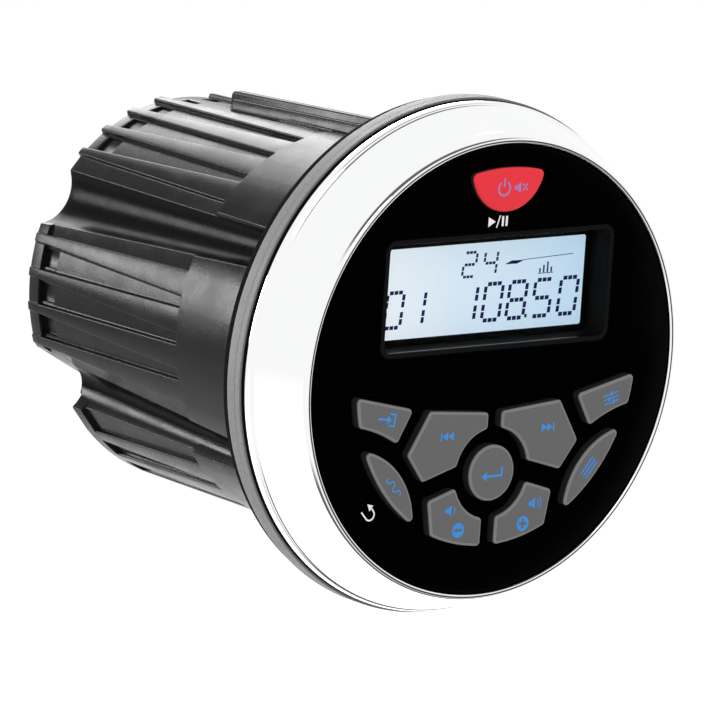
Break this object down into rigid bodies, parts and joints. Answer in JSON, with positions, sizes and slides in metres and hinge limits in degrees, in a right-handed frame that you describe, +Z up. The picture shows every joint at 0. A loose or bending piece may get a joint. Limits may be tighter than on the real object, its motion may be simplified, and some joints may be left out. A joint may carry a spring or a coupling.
{
  "type": "panel radio receiver",
  "caption": "Round marine radio receiver for a dashboard hole: chrome bezel, glossy black face with display and push buttons, ribbed black housing.",
  "frame": {"origin": "on the axis, in the plane of the rear of the gasket, where the foam seal begins", "axes": "+X is to the right seen from the front, +Y runs back into the dashboard, +Z is up; the face looks along -Y"},
  "size_m": [0.1028, 0.1076, 0.1028],
  "materials": {
    "black_polymer": "fine textured black",
    "seal_rubber": "plain",
    "grey_rubber": "satin grey",
    "screw_steel": "plain",
    "nickel": "plated",
    "insert_brass": "plain",
    "chrome_plate": "polished",
    "gloss_black": "high gloss",
    "clear_window": "clear",
    "dark_trim": "satin",
    "display_glass": "backlit",
    "light_guide": "clear",
    "contact_rubber": "plain",
    "mat_silicone": "plain",
    "board_green": "solder mask",
    "black_moulding": "plain",
    "cream_moulding": "plain",
    "sink_aluminium": "extruded",
    "capacitor_sleeve": "plain",
    "copper_wire": "enamelled copper",
    "red_key": "satin red",
    "grey_key": "satin grey"
  },
  "bodies": {
    "receiver": {"rear_housing": "black_polymer", "rear_cover": "black_polymer", "cover_seal": "seal_rubber", "cover_screws": "screw_steel", "cable_grommet": "seal_rubber", "antenna_socket": "nickel", "clamp_inserts": "insert_brass", "front_frame": "black_polymer", "panel_gasket": "grey_rubber", "foam_seal": "seal_rubber", "housing_seal": "seal_rubber", "housing_screws": "screw_steel", "chrome_bezel": "chrome_plate", "face_panel": "gloss_black", "display_window": "clear_window", "display_shroud": "dark_trim", "lcd_panel": "display_glass", "lcd_backlight": "light_guide", "lcd_contact_strip": "contact_rubber", "keypad_mat": "mat_silicone", "front_board": "board_green", "tact_switches": "black_moulding", "front_board_screws": "screw_steel", "board_header": "cream_moulding", "board_socket": "black_moulding", "main_board": "board_green", "amplifier_chip": "black_moulding", "heat_sink": "sink_aluminium", "amplifier_screws": "screw_steel", "tuner_module": "nickel", "filter_capacitors": "capacitor_sleeve", "choke_coil": "copper_wire", "main_board_screws": "screw_steel"},
    "power_button": {"power_button": "red_key"},
    "source_button": {"source_button": "grey_key"},
    "function_button": {"function_button": "grey_key"},
    "previous_button": {"previous_button": "grey_key"},
    "next_button": {"next_button": "grey_key"},
    "band_button": {"band_button": "grey_key"},
    "menu_button": {"menu_button": "grey_key"},
    "enter_button": {"enter_button": "grey_key"},
    "volume_down_button": {"volume_down_button": "grey_key"},
    "volume_up_button": {"volume_up_button": "grey_key"}
  },
  "joints": [
    {"name": "power_press", "type": "slide", "parent": "receiver", "child": "power_button", "axis": [0, 1, 0], "range_m": [0, 0.0008], "stiffness_N_per_m": 1500},
    {"name": "source_press", "type": "slide", "parent": "receiver", "child": "source_button", "axis": [0, 1, 0], "range_m": [0, 0.0008], "stiffness_N_per_m": 1500},
    {"name": "function_press", "type": "slide", "parent": "receiver", "child": "function_button", "axis": [0, 1, 0], "range_m": [0, 0.0008], "stiffness_N_per_m": 1500},
    {"name": "previous_press", "type": "slide", "parent": "receiver", "child": "previous_button", "axis": [0, 1, 0], "range_m": [0, 0.0008], "stiffness_N_per_m": 1500},
    {"name": "next_press", "type": "slide", "parent": "receiver", "child": "next_button", "axis": [0, 1, 0], "range_m": [0, 0.0008], "stiffness_N_per_m": 1500},
    {"name": "band_press", "type": "slide", "parent": "receiver", "child": "band_button", "axis": [0, 1, 0], "range_m": [0, 0.0008], "stiffness_N_per_m": 1500},
    {"name": "menu_press", "type": "slide", "parent": "receiver", "child": "menu_button", "axis": [0, 1, 0], "range_m": [0, 0.0008], "stiffness_N_per_m": 1500},
    {"name": "enter_press", "type": "slide", "parent": "receiver", "child": "enter_button", "axis": [0, 1, 0], "range_m": [0, 0.0008], "stiffness_N_per_m": 1500},
    {"name": "volume_down_press", "type": "slide", "parent": "receiver", "child": "volume_down_button", "axis": [0, 1, 0], "range_m": [0, 0.0008], "stiffness_N_per_m": 1500},
    {"name": "volume_up_press", "type": "slide", "parent": "receiver", "child": "volume_up_button", "axis": [0, 1, 0], "range_m": [0, 0.0008], "stiffness_N_per_m": 1500}
  ]
}
